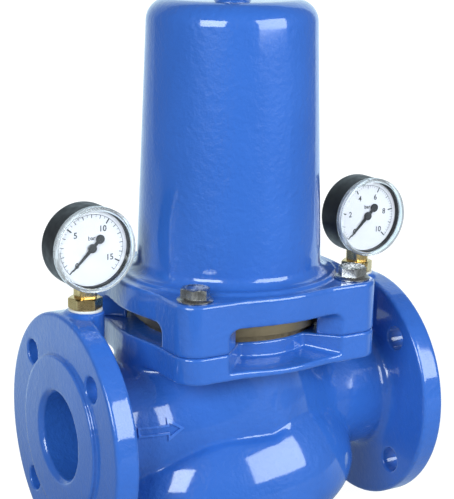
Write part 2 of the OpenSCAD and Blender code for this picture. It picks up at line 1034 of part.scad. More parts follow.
// Soldered end piece of the tube, with the pin of the link
module tube_tip(side)
    color(brass)
        at_gauge(side)
            translate([tip_x, 0, tip_z]) {
                // Block past the tube's mouth, and a lug in front of it with the pin
                rotate([0, -tip_angle, 0])
                    upright(tube_w / 2, tube_w + tip_lug_t)
                        translate([-tip_w / 2, tip_gap])
                            square([tip_w, tip_len]);
                rotate([0, -tip_angle, 0])
                    upright(-tube_w / 2 - lug_gap, tip_lug_t - lug_gap)
                        translate([-tip_w / 2, -lug_back])
                            square([tip_w, lug_back + tip_gap + past]);
                rod_y(pin_r, -tube_w / 2 - tip_lug_t / 2, pin_front);
            }

// Flattened tube bent to a C, open at the socket and closed at its tip
module bourdon_tube(side)
    color(brass)
        at_gauge(side)
            rotate([90, 0, 0])
                rotate(-tube_start)
                    rotate_extrude(angle = tip_angle + tube_start)
                        difference() {
                            translate([tube_r - tube_t / 2, -tube_w / 2])
                                square([tube_t, tube_w]);
                            translate([tube_r - tube_t / 2 + tube_wall,
                                       -tube_w / 2 + tube_wall])
                                square([tube_t - 2 * tube_wall, tube_w - 2 * tube_wall]);
                        }

module inlet_adapter() { adapter(-1); }
module inlet_adapter_seal() { adapter_seal(-1); }
module inlet_socket() { socket(-1); }
module inlet_case() { case(-1); }
module inlet_window() { window(-1); }
module inlet_dial() { dial(-1); }
module inlet_pointer() { pointer(-1); }
module inlet_pinion() { pinion(-1); }
module inlet_movement() { movement(-1); }
module inlet_sector() { sector(-1); }
module inlet_link() { link(-1); }
module inlet_tube_tip() { tube_tip(-1); }
module inlet_bourdon_tube() { bourdon_tube(-1); }
module outlet_adapter() { adapter(1); }
module outlet_adapter_seal() { adapter_seal(1); }
module outlet_socket() { socket(1); }
module outlet_case() { case(1); }
module outlet_window() { window(1); }
module outlet_dial() { dial(1); }
module outlet_pointer() { pointer(1); }
module outlet_pinion() { pinion(1); }
module outlet_movement() { movement(1); }
module outlet_sector() { sector(1); }
module outlet_link() { link(1); }
module outlet_tube_tip() { tube_tip(1); }
module outlet_bourdon_tube() { bourdon_tube(1); }

valve_body();
bonnet();
bonnet_bolts();
adjusting_screw();
lock_nut();
lock_washer();
thrust_ball();
upper_spring_plate();
range_spring();
lower_spring_plate();
stem_nut();
diaphragm();
diaphragm_plate();
stem_spacer();
valve_stem();
balance_piston();
piston_seal();
valve_insert();
insert_upper_oring();
insert_lower_oring();
seat_ring();
valve_disc();
disc_seal();
seal_retainer();
disc_nut();
inlet_adapter();
inlet_adapter_seal();
inlet_socket();
inlet_case();
inlet_window();
inlet_dial();
inlet_pointer();
inlet_pinion();
inlet_movement();
inlet_sector();
inlet_link();
inlet_tube_tip();
inlet_bourdon_tube();
outlet_adapter();
outlet_adapter_seal();
outlet_socket();
outlet_case();
outlet_window();
outlet_dial();
outlet_pointer();
outlet_pinion();
outlet_movement();
outlet_sector();
outlet_link();
outlet_tube_tip();
outlet_bourdon_tube();
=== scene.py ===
"""Flanged pressure reducing valve: painted castings, bolts, setting screw and two gauges.

The castings are written as distance fields in millimetres and meshed with surface nets, so
every inside corner has a cast fillet. Turned and hexagonal pieces are swept from profiles.
"""
import math

import bpy
import numpy as np
from mathutils import Matrix, Vector

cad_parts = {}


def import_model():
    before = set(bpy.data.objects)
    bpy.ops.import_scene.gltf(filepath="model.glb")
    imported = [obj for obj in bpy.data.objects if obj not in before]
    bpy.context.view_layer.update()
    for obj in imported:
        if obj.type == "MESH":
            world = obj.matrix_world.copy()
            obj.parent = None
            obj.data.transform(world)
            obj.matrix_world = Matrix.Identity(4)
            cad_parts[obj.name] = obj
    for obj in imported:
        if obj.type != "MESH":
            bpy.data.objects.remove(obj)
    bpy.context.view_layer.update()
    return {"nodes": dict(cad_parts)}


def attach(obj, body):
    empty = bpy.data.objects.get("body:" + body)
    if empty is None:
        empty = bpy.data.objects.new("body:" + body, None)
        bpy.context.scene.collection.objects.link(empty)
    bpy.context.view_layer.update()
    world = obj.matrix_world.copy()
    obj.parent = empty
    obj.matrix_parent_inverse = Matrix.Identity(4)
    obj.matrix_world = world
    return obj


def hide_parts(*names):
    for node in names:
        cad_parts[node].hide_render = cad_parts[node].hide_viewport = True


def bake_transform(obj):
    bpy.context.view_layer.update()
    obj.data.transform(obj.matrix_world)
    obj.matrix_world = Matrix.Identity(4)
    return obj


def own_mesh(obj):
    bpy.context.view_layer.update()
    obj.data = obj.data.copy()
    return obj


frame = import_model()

MM = 0.001

# ---------------------------------------------------------------- sizes, mm
# Heights are measured from the pipe axis, which lies PIPE_Z above the floor.

# Pipe flanges and ports
PIPE_Z = 98.0
FACE_X = 145.0
BACK_X = 124.0
RAISED_X = 142.0
FLANGE_R = 92.5
PORT_R = 32.5
PORT_CHAMFER = 3.0
BOLT_OFFSET = 72.5 / math.sqrt(2)
NECK_R = 46.0
GAUGE_X = 121.5
BOSS_TOP = 94.0

# Square cover flanges of the body and the bonnet
JOINT_Z = 72.5
COVER_T = 20.0
SEAT_Z = 111.0
CLAMP_Z = 90.5
COVER_HALF = 85.0
COVER_BOLT = 68.0
BULGE_R = 90.0
POST_HALF = 25.0

# Bonnet column, with the screw on top and the range spring inside
COLUMN_FOOT_R = 70.0
COLUMN_TOP_R = 64.0
SKIRT_TOP_Z = 134.0
CROWN_Z = 304.0
TOP_Z = 317.0
BOSS_Z = 331.0
SCREW_R = 8.0
WASHER_T = 2.5
SPRING_LOW = PIPE_Z + 102.0
SPRING_HIGH = PIPE_Z + 270.0

# Gauges
POINTER_Z = 143.0
DIAL_Y = -11.2
RIM_FROM_R = 28.4
SEAL_T = 2.0
SHAFT_RISE = POINTER_Z - BOSS_TOP
SCALE_START = -135.0
SCALE_SWEEP = 270.0

# Radius that stands for the axis itself at the ends of a turned profile
ON_AXIS = 0.01


# ---------------------------------------------------------------- materials

def new_material(name):
    """Material with nodes; returns (material, node tree, its Principled node)."""
    mat = bpy.data.materials.new(name)
    mat.use_nodes = True
    tree = mat.node_tree
    return mat, tree, tree.nodes["Principled BSDF"]


def assign(n, **values):
    """Sets a node's inputs by their label, or else its attributes."""
    for key, value in values.items():
        label = key.replace("_", " ")
        if label in n.inputs:
            n.inputs[label].default_value = value
        else:
            setattr(n, key, value)
    return n


def node(tree, kind, **settings):
    return assign(tree.nodes.new(kind), **settings)


def object_coords(tree, stretch=(1, 1, 1)):
    coord = node(tree, "ShaderNodeTexCoord")
    mapping = node(tree, "ShaderNodeMapping", Scale=stretch)
    tree.links.new(coord.outputs["Object"], mapping.inputs["Vector"])
    return mapping.outputs["Vector"]


def noise(tree, coords, scale, detail=2.0, rough=0.5):
    n = node(tree, "ShaderNodeTexNoise", Scale=scale, Detail=detail, Roughness=rough)
    tree.links.new(coords, n.inputs["Vector"])
    return n.outputs["Fac"]


def ramp(tree, fac, low, high, c0, c1):
    r = node(tree, "ShaderNodeValToRGB")
    tree.links.new(fac, r.inputs["Fac"])
    ends = r.color_ramp.elements
    ends[0].position, ends[1].position = low, high
    ends[0].color, ends[1].color = (*c0, 1), (*c1, 1)
    return r.outputs["Color"]


def span(tree, fac, low, high, to_low, to_high):
    """Spreads the range low to high over to_low to to_high."""
    m = node(tree, "ShaderNodeMapRange", From_Min=low, From_Max=high, To_Min=to_low,
             To_Max=to_high)
    tree.links.new(fac, m.inputs["Value"])
    return m.outputs["Result"]


def uneven(tree, bsdf, fac, low, high):
    """Roughness that a noise moves between low and high."""
    tree.links.new(span(tree, fac, 0.3, 0.7, low, high), bsdf.inputs["Roughness"])


def mixed(tree, kind, fac, a, b):
    """Mix of a and b, of one data type; each input is a plain value or a node's output."""
    m = node(tree, "ShaderNodeMix", data_type=kind)
    for value, label in ((fac, "Factor"), (a, "A"), (b, "B")):
        socket = [s for s in m.inputs if s.name == label and s.enabled][0]
        if isinstance(value, bpy.types.NodeSocket):
            tree.links.new(value, socket)
        else:
            socket.default_value = value
    return [s for s in m.outputs if s.enabled][0]


def mix_colour(tree, fac, a, b):
    return mixed(tree, "RGBA", fac, a, b)


def choose(tree, switch, off, on):
    """The number off where the switch is 0, and on where it is 1."""
    return mixed(tree, "FLOAT", switch, off, on)


def bump_chain(tree, bsdf, layers):
    """Layers are (height output, strength, distance in metres), coarse to fine."""
    normal = None
    for height, strength, distance in layers:
        b = node(tree, "ShaderNodeBump", Strength=strength, Distance=distance)
        tree.links.new(height, b.inputs["Height"])
        if normal is not None:
            tree.links.new(normal, b.inputs["Normal"])
        normal = b.outputs["Normal"]
    tree.links.new(normal, bsdf.inputs["Normal"])


def edge_mask(tree, low, high):
    """0 on flats and 1 on worn convex edges."""
    geometry = node(tree, "ShaderNodeNewGeometry")
    return span(tree, geometry.outputs["Pointiness"], low, high, 0.0, 1.0)


def surface_switch(tree, switch, off, on):
    """Surface of the material: shader node off where the switch is 0, on where it is 1."""
    mix = node(tree, "ShaderNodeMixShader")
    tree.links.new(switch, mix.inputs[0])
    tree.links.new(off.outputs["BSDF"], mix.inputs[1])
    tree.links.new(on.outputs["BSDF"], mix.inputs[2])
    tree.links.new(mix.outputs["Shader"], tree.nodes["Material Output"].inputs["Surface"])


def powder_coat():
    """Thick glossy paint over a rough casting: cast waves, orange peel, paler at edges."""
    deep, pale, edge = (0.028, 0.124, 0.488), (0.034, 0.140, 0.536), (0.050, 0.17, 0.60, 1)
    mat, tree, bsdf = new_material("blue_powder_coat")
    assign(bsdf, Specular_IOR_Level=0.12, Coat_Weight=1.0, Coat_IOR=1.62, Coat_Roughness=0.08)
    at = object_coords(tree)
    tone = ramp(tree, noise(tree, at, 14.0, 3.0), 0.35, 0.65, deep, pale)
    worn = mix_colour(tree, edge_mask(tree, 0.53, 0.60), tone, edge)
    tree.links.new(worn, bsdf.inputs["Base Color"])
    uneven(tree, bsdf, noise(tree, at, 90.0), 0.28, 0.38)
    cast_waves = noise(tree, at, 55.0, 2.0)
    orange_peel = noise(tree, at, 210.0, 3.0, 0.6)
    bump_chain(tree, bsdf, [(cast_waves, 0.6, 0.0014), (orange_peel, 0.9, 0.0009)])
    return mat


def metal(name, colour, dark, rough, brushed=(1, 1, 1)):
    """Machined metal: fine directional grain, uneven tone, brighter worn edges."""
    mat, tree, bsdf = new_material(name)
    assign(bsdf, Metallic=1.0)
    tone = ramp(tree, noise(tree, object_coords(tree), 120.0, 4.0, 0.6), 0.35, 0.70, dark, colour)
    light = (*(min(1.0, c * 1.25) for c in colour), 1)
    worn = mix_colour(tree, edge_mask(tree, 0.52, 0.62), tone, light)
    tree.links.new(worn, bsdf.inputs["Base Color"])
    grain = noise(tree, object_coords(tree, brushed), 500.0, 3.0)
    uneven(tree, bsdf, grain, rough * 0.75, rough * 1.3)
    bump_chain(tree, bsdf, [(grain, 0.15, 0.0002)])
    return mat


def plastic(name, colour, rough, bump=0.1, spread=0.12, shine=0.5):
    """Moulded plastic or rubber: fine texture and slightly uneven tone."""
    mat, tree, bsdf = new_material(name)
    assign(bsdf, Specular_IOR_Level=shine)
    at = object_coords(tree)
    lighter = tuple(c + spread * (c + 0.02) for c in colour)
    tone = ramp(tree, noise(tree, at, 40.0, 3.0), 0.35, 0.65, colour, lighter)
    tree.links.new(tone, bsdf.inputs["Base Color"])
    uneven(tree, bsdf, noise(tree, at, 150.0), rough * 0.8, rough * 1.2)
    bump_chain(tree, bsdf, [(noise(tree, at, 900.0), bump, 0.0002)])
    return mat


def clear_plastic(name, clearness, bend):
    """Clear moulding; clearness is the share of light let through, bend its refraction."""
    mat, tree, bsdf = new_material(name)
    assign(bsdf, Base_Color=(0.90, 0.92, 0.94, 1), Transmission_Weight=clearness, IOR=bend)
    at = object_coords(tree)
    uneven(tree, bsdf, noise(tree, at, 60.0), 0.01, 0.05)
    bump_chain(tree, bsdf, [(noise(tree, at, 30.0), 0.02, 0.0005)])
    # Light passes straight through, so the dial behind is lit
    thin = node(tree, "ShaderNodeBsdfTransparent", Color=(0.95, 0.97, 0.98, 1))
    path = node(tree, "ShaderNodeLightPath")
    surface_switch(tree, path.outputs["Is Shadow Ray"], bsdf, thin)
    return mat


PAINT = powder_coat()
STEEL = metal("machined_steel", (0.55, 0.55, 0.56), (0.36, 0.36, 0.37), 0.32)
ZINC = metal("bright_zinc", (0.50, 0.49, 0.47), (0.26, 0.25, 0.24), 0.27)
STAINLESS = metal("stainless_steel", (0.66, 0.66, 0.66), (0.50, 0.50, 0.50), 0.22,
                  brushed=(1, 1, 12))
SPRING = metal("spring_steel", (0.16, 0.16, 0.17), (0.08, 0.08, 0.09), 0.38)
BRASS = metal("turned_brass", (0.78, 0.58, 0.27), (0.58, 0.41, 0.17), 0.26,
              brushed=(1, 1, 10))
BRONZE = metal("turned_bronze", (0.34, 0.27, 0.17), (0.20, 0.15, 0.09), 0.42,
               brushed=(1, 1, 18))
RUBBER = plastic("black_rubber", (0.022, 0.022, 0.024), 0.55, 0.25)
BLACK = plastic("black_case", (0.006, 0.006, 0.008), 0.42, shine=0.3)
WHITE = plastic("dial_white", (0.64, 0.60, 0.62), 0.45, 0.03, spread=0.03)
SEAL = plastic("white_seal", (0.74, 0.73, 0.69), 0.5, 0.08, spread=0.05)
INK = plastic("dial_ink", (0.018, 0.018, 0.020), 0.42, 0.03)
WINDOW = clear_plastic("clear_window", 1.0, 1.45)
RIM = clear_plastic("cloudy_rim", 0.75, 1.25)

CAD_MATERIALS = {
    "thrust_ball": STAINLESS, "upper_spring_plate": STEEL, "lower_spring_plate": STEEL,
    "stem_nut": STAINLESS, "diaphragm_plate": BRASS, "stem_spacer": STAINLESS,
    "valve_stem": STAINLESS, "balance_piston": BRASS, "piston_seal": RUBBER,
    "valve_insert": BRONZE, "insert_upper_oring": RUBBER, "insert_lower_oring": RUBBER,
    "seat_ring": STAINLESS, "valve_disc": BRASS, "disc_seal": RUBBER,
    "seal_retainer": STAINLESS, "disc_nut": STAINLESS,
}
for side in ("inlet", "outlet"):
    for piece, mat in (("pinion", BRASS), ("movement", BRASS), ("sector", BRASS),
                       ("link", STAINLESS), ("tube_tip", BRASS), ("bourdon_tube", BRASS)):
        CAD_MATERIALS[f"{side}_{piece}"] = mat
for name, mat in CAD_MATERIALS.items():
    cad_mesh = frame["nodes"][name].data
    cad_mesh.materials.clear()
    cad_mesh.materials.append(mat)


# ---------------------------------------------------------------- mesh tools

def new_object(name, data):
    obj = bpy.data.objects.new(name, data)
    bpy.context.scene.collection.objects.link(obj)
    return obj


def add_piece(name, mesh, mat, body, replaced=(), sharp=40.0):
    """Puts a mesh in the scene as a piece on a body, with smooth shading."""
    mesh.materials.append(mat)
    mesh.polygons.foreach_set("use_smooth", [True] * len(mesh.polygons))
    if sharp:
        mesh.set_sharp_from_angle(angle=math.radians(sharp))
    obj = new_object(name, mesh)
    if body:
        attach(obj, body)
    if replaced:
        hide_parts(*replaced)
    return obj


def mesh_from(name, verts, faces):
    mesh = bpy.data.meshes.new(name)
    mesh.from_pydata([tuple(v) for v in verts], [], [tuple(f) for f in faces])
    mesh.validate()
    return mesh


class Builder:
    """Collects vertices and faces, in millimetres."""

    def __init__(self):
        self.verts = []
        self.faces = []

    def add(self, verts, faces, place=Matrix()):
        base = len(self.verts)
        self.verts += [place @ Vector(v) for v in verts]
        self.faces += [tuple(base + i for i in f) for f in faces]

    def mesh(self, name):
        return mesh_from(name, [v * MM for v in self.verts], self.faces)


def swept(profile, radius_of=None, turns=96, closed=False):
    """Solid of revolution about Z from (radius, height) points, outside going upward.

    radius_of(radius, angle, height) may change the radius, which makes a hexagon or a thread.
    A closed profile makes a ring; an open one is capped where it meets the axis.
    """
    verts, faces = [], []
    count = len(profile)
    for i in range(turns):
        a = 2 * math.pi * i / turns
        for r, z in profile:
            rr = radius_of(r, a, z) if radius_of else r
            verts.append((rr * math.cos(a), rr * math.sin(a), z))
    last = count if closed else count - 1
    for i in range(turns):
        j = (i + 1) % turns
        for k in range(last):
            m = (k + 1) % count
            faces.append((i * count + k, j * count + k, j * count + m, i * count + m))
    if not closed:
        faces.append([i * count for i in reversed(range(turns))])
        faces.append([i * count + count - 1 for i in range(turns)])
    return verts, faces


def arc(cx, cy, r, start, end, steps=6):
    """Points on an arc, angles in degrees."""
    angles = [math.radians(start + (end - start) * i / steps) for i in range(steps + 1)]
    return [(cx + r * math.cos(a), cy + r * math.sin(a)) for a in angles]


def side_distance(angle, sides, across_flats):
    """Distance from the axis to the side of a regular polygon, in one direction."""
    part = 2 * math.pi / sides
    to_middle = (angle + part / 2) % part - part / 2
    return across_flats / 2 / math.cos(to_middle)


def polygon_prism(outline, y_back, y_front):
    """Prism along Y from an (x, z) outline, counter-clockwise as seen from the front."""
    n = len(outline)
    verts = [(x, y_back, z) for x, z in outline] + [(x, y_front, z) for x, z in outline]
    faces = [tuple(range(n))[::-1], tuple(range(n, 2 * n))]
    faces += [(i, (i + 1) % n, n + (i + 1) % n, n + i) for i in range(n)]
    return verts, faces


# ---------------------------------------------------------------- distance fields

def union(a, b, r=0.0):
    """Union with a round fillet of radius r in the inside corner."""
    if r <= 0:
        return np.minimum(a, b)
    return (np.maximum(r, np.minimum(a, b))
            - np.hypot(np.maximum(r - a, 0), np.maximum(r - b, 0)))


def common(a, b, r=0.0):
    """Intersection with its outside corner rounded to radius r."""
    return -union(-a, -b, r)


def cut(a, b, r=0.0):
    """a without b, with the mouth of the cut rounded to radius r."""
    return -union(-a, b, r)


def slab(v, low, high):
    """Distance to the layer between two planes."""
    return np.abs(v - (low + high) / 2) - (high - low) / 2


def rounded_disc(radial, radius, along, low, high, r):
    """Disc between low and high along its axis, with its edges rounded to radius r."""
    return common(radial - radius, slab(along, low, high), r)


def rounded_square(x, y, half, corner):
    qx = np.abs(x) - half + corner
    qy = np.abs(y) - half + corner
    outside = np.hypot(np.maximum(qx, 0), np.maximum(qy, 0))
    return outside + np.minimum(np.maximum(qx, qy), 0) - corner


def smooth_step(v, low, high):
    t = np.clip((v - low) / (high - low), 0, 1)
    return t * t * (3 - 2 * t)


def cover_outline(x, y):
    """Rounded square with corners on the bolts, its sides bulging to a circle."""
    square = rounded_square(x, y, COVER_HALF, COVER_HALF - COVER_BOLT)
    return union(square, np.hypot(x, y) - BULGE_R, r=5.0)


def diagonals(x, y):
    """Distance to the two strips along the diagonals that the corner posts fill."""
    u, v = (x + y) / math.sqrt(2), (x - y) / math.sqrt(2)
    return np.minimum(np.abs(u), np.abs(v)) - POST_HALF


def cover_bolt_distance(x, y):
    return np.hypot(np.abs(x) - COVER_BOLT, np.abs(y) - COVER_BOLT)


def egg(x, y, z, inset=0.0):
    """The bowl: an egg below the seat, leaning so that it stands higher at the outlet."""
    lean = math.radians(8)
    centre_x, centre_z = 4.0, -50.0
    to_inlet, to_outlet, to_front, upward, downward = 125.0, 99.0, 94.0, 84.0, 48.0
    right, up = x - centre_x, z - centre_z
    along = right * math.cos(lean) + up * math.sin(lean)
    above = up * math.cos(lean) - right * math.sin(lean)
    reach_x = np.where(along < 0, to_inlet, to_outlet) - inset
    reach_y = to_front - inset
    height = np.where(above > 0, upward, downward) - inset
    stretch = np.hypot(np.hypot(along / reach_x, y / reach_y), above / height)
    slope = np.hypot(np.hypot(along / reach_x ** 2, y / reach_y ** 2), above / height ** 2)
    return stretch * (stretch - 1) / np.maximum(slope, 0.002)


def shelf_height(x):
    """Height of the ridge where the bowl's top meets the barrel."""
    middle, inlet_drop, bump, outlet_climb = -1.0, 21.0, 22.0, 70.0
    left = -inlet_drop * smooth_step(-x, 34.0, 104.0)
    right = bump * smooth_step(x, -6.0, 36.0) + outlet_climb * smooth_step(x, 26.0, 60.0)
    return middle + left + right


def pocket(x, y, z):
    """Recess in the body's cover flange, between the corner pads, front and rear."""
    back_r, floor_z, floor_fall, fall_from, half_width = 69.0, 62.5, 0.20, 62, 40.0
    radial = np.hypot(x, y)
    floor = floor_z - floor_fall * np.maximum(np.abs(y) - fall_from, 0)
    room = common(back_r - radial, floor - z, r=1.2)
    room = common(room, -diagonals(x, y), r=2.0)
    return np.maximum(room, np.maximum(half_width - np.abs(y), np.abs(x) - np.abs(y)))


def pipe_flanges(x, rho):
    """Both pipe flanges with their raised faces and the fillet to the neck."""
    raised_r, neck_inner = 61.0, 60.0
    end = np.abs(x)
    plate = rounded_disc(rho, FLANGE_R, end, BACK_X, RAISED_X, r=2.5)
    raised = rounded_disc(rho, raised_r, end, BACK_X + 4, FACE_X, r=0.8)
    neck = np.maximum(rho - NECK_R, end - BACK_X - 6)
    neck = np.maximum(neck, neck_inner - end)
    return union(union(neck, plate, r=12.0), raised, r=0.6)


def body_outside(x, y, z):
    """Barrel, bowl, necks, flanges, gauge bosses and cover flange of the valve body."""
    barrel_r, barrel_low, barrel_high = 68.0, -34.0, 60.0
    throat_r, throat_widen, throat_sink = 46.5, 0.42, 2
    inlet_grow, boss_r = 7.0, 14.0
    rho = np.hypot(y, z)
    barrel = np.maximum(np.hypot(x, y) - barrel_r, slab(z, barrel_low, barrel_high))
    bowl = common(egg(x, y, z), z - shelf_height(x), r=4.0)
    # The outlet passage is wider beside the barrel than at the neck
    grow = 1 - smooth_step(x, -30.0, 112.0)
    throat = np.hypot(y / (1 + throat_widen * grow), z + throat_sink * grow) - throat_r
    throat = common(throat, slab(x, 8.0, BACK_X), r=3.0)
    inlet = np.maximum(rho - NECK_R - inlet_grow * smooth_step(x, -116.0, -80.0),
                       slab(x, -130.0, -20.0))
    solid = union(barrel, inlet, r=30.0)
    solid = union(solid, throat, r=20.0)
    solid = union(solid, bowl, r=3.0)
    solid = union(solid, pipe_flanges(x, rho), r=6.0)
    boss = rounded_disc(np.hypot(np.abs(x) - GAUGE_X, y), boss_r, z, 40.0, BOSS_TOP, r=1.4)
    solid = union(solid, boss, r=5.0)
    cover = common(cover_outline(x, y), slab(z, JOINT_Z - COVER_T, JOINT_Z), r=1.6)
    solid = union(solid, cover, r=7.0)
    return cut(solid, pocket(x, y, z), r=1.2)


def body_hollows(x, y, z):
    """Space for the water, with the partition between the inlet and the outlet side left out."""
    chamber_r, chamber_floor, seat_r = 60.0, -26.0, 40.0
    wall, partition_r, partition_floor, channel_r, channel_end = 9.0, 69.5, -36.0, 42.0, 43.0
    rho = np.hypot(y, z)
    radial = np.hypot(x, y)
    # Inlet side: port, chamber round the insert, seat bore
    inlet = np.maximum(rho - PORT_R, x + 30.0)
    inlet = union(inlet, np.maximum(radial - chamber_r, chamber_floor - z), r=3.0)
    inlet = np.minimum(inlet, np.maximum(radial - seat_r, slab(z, -60.0, 0.0)))
    # Outlet side: bowl and port, outside the barrel and the inlet channel
    outlet = common(egg(x, y, z, wall), z - shelf_height(x) + wall, r=3.0)
    outlet = union(outlet, np.maximum(rho - PORT_R, 35.0 - x), r=6.0)
    outlet = cut(outlet, np.maximum(radial - partition_r, partition_floor - z), r=3.0)
    outlet = cut(outlet, np.maximum(rho - channel_r, x + channel_end), r=3.0)
    return np.minimum(inlet, outlet)


def body_field(x, y, z):
    """The valve body; z is measured from the pipe axis."""
    rho = np.hypot(y, z)
    end = np.abs(x)
    bolt_hole_r, thread_r, thread_depth = 9.5, 6.2, 17.0
    solid = cut(body_outside(x, y, z), body_hollows(x, y, z), r=1.5)
    mouth = rho - PORT_R - PORT_CHAMFER + np.maximum(FACE_X - end, 0)
    solid = np.maximum(solid, -mouth)
    bolts = np.hypot(np.abs(y) - BOLT_OFFSET, np.abs(z) - BOLT_OFFSET) - bolt_hole_r
    solid = cut(solid, np.maximum(bolts, BACK_X - 30.0 - end), r=0.6)
    threads = np.maximum(cover_bolt_distance(x, y) - thread_r, JOINT_Z - thread_depth - z)
    return np.maximum(solid, -threads)


def bonnet_column(radial, z):
    """Tapered column with its rounded shoulder, the skirt at its foot and the boss on top."""
    skirt_r, skirt_low, skirt_high, boss_r = 82.0, 100.0, 113.6, 13.0
    draft = (COLUMN_FOOT_R - COLUMN_TOP_R) / (CROWN_Z - SKIRT_TOP_Z)
    radius = COLUMN_FOOT_R - draft * (z - SKIRT_TOP_Z)
    column = common(radial - radius, z - TOP_Z, r=16.0)
    column = np.maximum(column, skirt_low - z)
    skirt = rounded_disc(radial, skirt_r, z, skirt_low, skirt_high, r=1.2)
    boss = rounded_disc(radial, boss_r, z, TOP_Z - 17.0, BOSS_Z, r=1.2)
    return union(union(column, skirt, r=8.0), boss, r=4.0)


def bonnet_field(x, y, z):
    """The spring bonnet on its four corner posts; z is measured from the pipe axis."""
    post_inner_r, chamber_r, chamber_taper, bolt_hole_r = 78.0, 59.0, 3.0, 6.75
    radial = np.hypot(x, y)
    posts = cut(np.maximum(diagonals(x, y), slab(z, JOINT_Z - 10.0, SEAT_Z)),
                radial - post_inner_r, r=1.5)
    solid = union(posts, CLAMP_Z - z, r=7.0)
    outline = common(cover_outline(x, y), slab(z, JOINT_Z, SEAT_Z), r=2.4)
    solid = common(solid, outline, r=1.0)
    solid = union(solid, bonnet_column(radial, z), r=2.0)
    inner = chamber_r - chamber_taper * (z - CLAMP_Z) / (CROWN_Z - CLAMP_Z)
    chamber = common(radial - inner, z - CROWN_Z, r=8.0)
    bore = radial - SCREW_R - 0.1
    bolts = cover_bolt_distance(x, y) - bolt_hole_r
    return cut(solid, np.minimum(np.minimum(chamber, bore), bolts), r=0.5)


def surface_net(field, low, step):
    """Vertices and quads of the zero surface of a sampled field (surface nets)."""
    cells = tuple(n - 1 for n in field.shape)
    total = np.zeros((3,) + cells)
    count = np.zeros(cells)
    inside = field < 0
    for axis in range(3):
        first = [slice(None)] * 3
        second = [slice(None)] * 3
        first[axis], second[axis] = slice(0, -1), slice(1, None)
        a, b = field[tuple(first)], field[tuple(second)]
        crossing = inside[tuple(first)] != inside[tuple(second)]
        t = np.where(crossing, a / np.where(crossing, a - b, 1), 0)
        others = [i for i in range(3) if i != axis]
        for du in (0, 1):
            for dv in (0, 1):
                pick = [slice(None)] * 3
                pick[others[0]] = slice(du, du + cells[others[0]])
                pick[others[1]] = slice(dv, dv + cells[others[1]])
                hit = crossing[tuple(pick)]
                count += hit
                total[axis] += t[tuple(pick)]
                total[others[0]] += du * hit
                total[others[1]] += dv * hit
    active = count > 0
    index = np.full(cells, -1)
    index[active] = np.arange(active.sum())
    where = np.argwhere(active)
    offset = (total[:, active] / count[active]).T
    verts = np.array(low) + (where + offset) * step
    quads = []
    for axis in range(3):
        u, v = [i for i in range(3) if i != axis]
        first = [slice(1, -1)] * 3
        second = [slice(1, -1)] * 3
        first[axis], second[axis] = slice(0, -1), slice(1, None)
        a, b = inside[tuple(first)], inside[tuple(second)]
        at = np.argwhere(a != b)
        rising = a[tuple(at.T)]
        at[:, u] += 1
        at[:, v] += 1
        ring = []
        for du, dv in ((1, 1), (0, 1), (0, 0), (1, 0)):
            cell = at.copy()
            cell[:, u] -= du
            cell[:, v] -= dv
            ring.append(index[tuple(cell.T)])
        quad = np.stack(ring, axis=1)
        flip = rising != (axis == 1)
        quad[~flip] = quad[~flip][:, ::-1]
        quads.append(quad)
    return verts, np.concatenate(quads)


def snap(field, verts, limit, rounds=4):
    """Moves vertices onto the zero surface along the field's gradient."""
    h = 0.15
    for _ in range(rounds):
        value = field(*verts.T)
        grad = np.empty_like(verts)
        for axis in range(3):
            shift = np.zeros(3)
            shift[axis] = h
            ahead, behind = field(*(verts + shift).T), field(*(verts - shift).T)
            grad[:, axis] = (ahead - behind) / (2 * h)
        size = np.maximum((grad ** 2).sum(1), 0.05)
        move = -(value / size)[:, None] * grad
        length = np.maximum(np.linalg.norm(move, axis=1), 1e-9)
        move *= np.minimum(1, limit / length)[:, None]
        verts = verts + move
    return verts


def casting(name, field, low, high, step):
    """Mesh of a distance field inside a box, in metres, standing on the pipe height."""
    axes = [np.arange(a, b + step, step) for a, b in zip(low, high)]
    shape = tuple(len(a) for a in axes)
    values = np.empty(shape)
    for i, x in enumerate(axes[0]):
        yy, zz = np.meshgrid(axes[1], axes[2], indexing="ij")
        values[i] = field(np.full_like(yy, x), yy, zz)
    verts, quads = surface_net(values, low, step)
    verts = snap(field, verts, step * 0.35)
    verts = (verts + np.array([0, 0, PIPE_Z])) * MM
    mesh = bpy.data.meshes.new(name)
    mesh.vertices.add(len(verts))
    mesh.vertices.foreach_set("co", verts.ravel())
    mesh.loops.add(quads.size)
    mesh.loops.foreach_set("vertex_index", quads.ravel())
    mesh.polygons.add(len(quads))
    mesh.polygons.foreach_set("loop_start", np.arange(0, quads.size, 4))
    mesh.update(calc_edges=True)
    mesh.validate()
    return mesh


def cast_pieces():
    """Body and bonnet, each sampled in a box a little larger than the casting."""
    step = 1.5
    for name, cad_node, field, low, high in (
            ("valve_body_cast", "valve_body", body_field,
             (-147.3, -94.9, -100.7), (147.9, 95.3, 96.7)),
            ("bonnet_cast", "bonnet", bonnet_field,
             (-92.1, -92.1, 70.3), (92.5, 92.5, 332.9))):
        mesh = casting(name, field, low, high, step)
        add_piece(name, mesh, PAINT, "housing", [cad_node], sharp=0)


cast_pieces()


# ---------------------------------------------------------------- flow arrow on the inlet neck

def body_front(x, z):
    """Points of the body's front at x and z (arrays, mm), and the outward normals there."""
    start_y, rounds, pace, h = -80.0, 60, 0.8, 0.2
    at = np.stack([x, np.full_like(x, start_y), z], axis=1)
    for _ in range(rounds):
        at[:, 1] += pace * body_field(*at.T)
    normal = np.empty_like(at)
    for axis in range(3):
        shift = np.zeros(3)
        shift[axis] = h
        normal[:, axis] = body_field(*(at + shift).T) - body_field(*(at - shift).T)
    return at, normal / np.linalg.norm(normal, axis=1)[:, None]


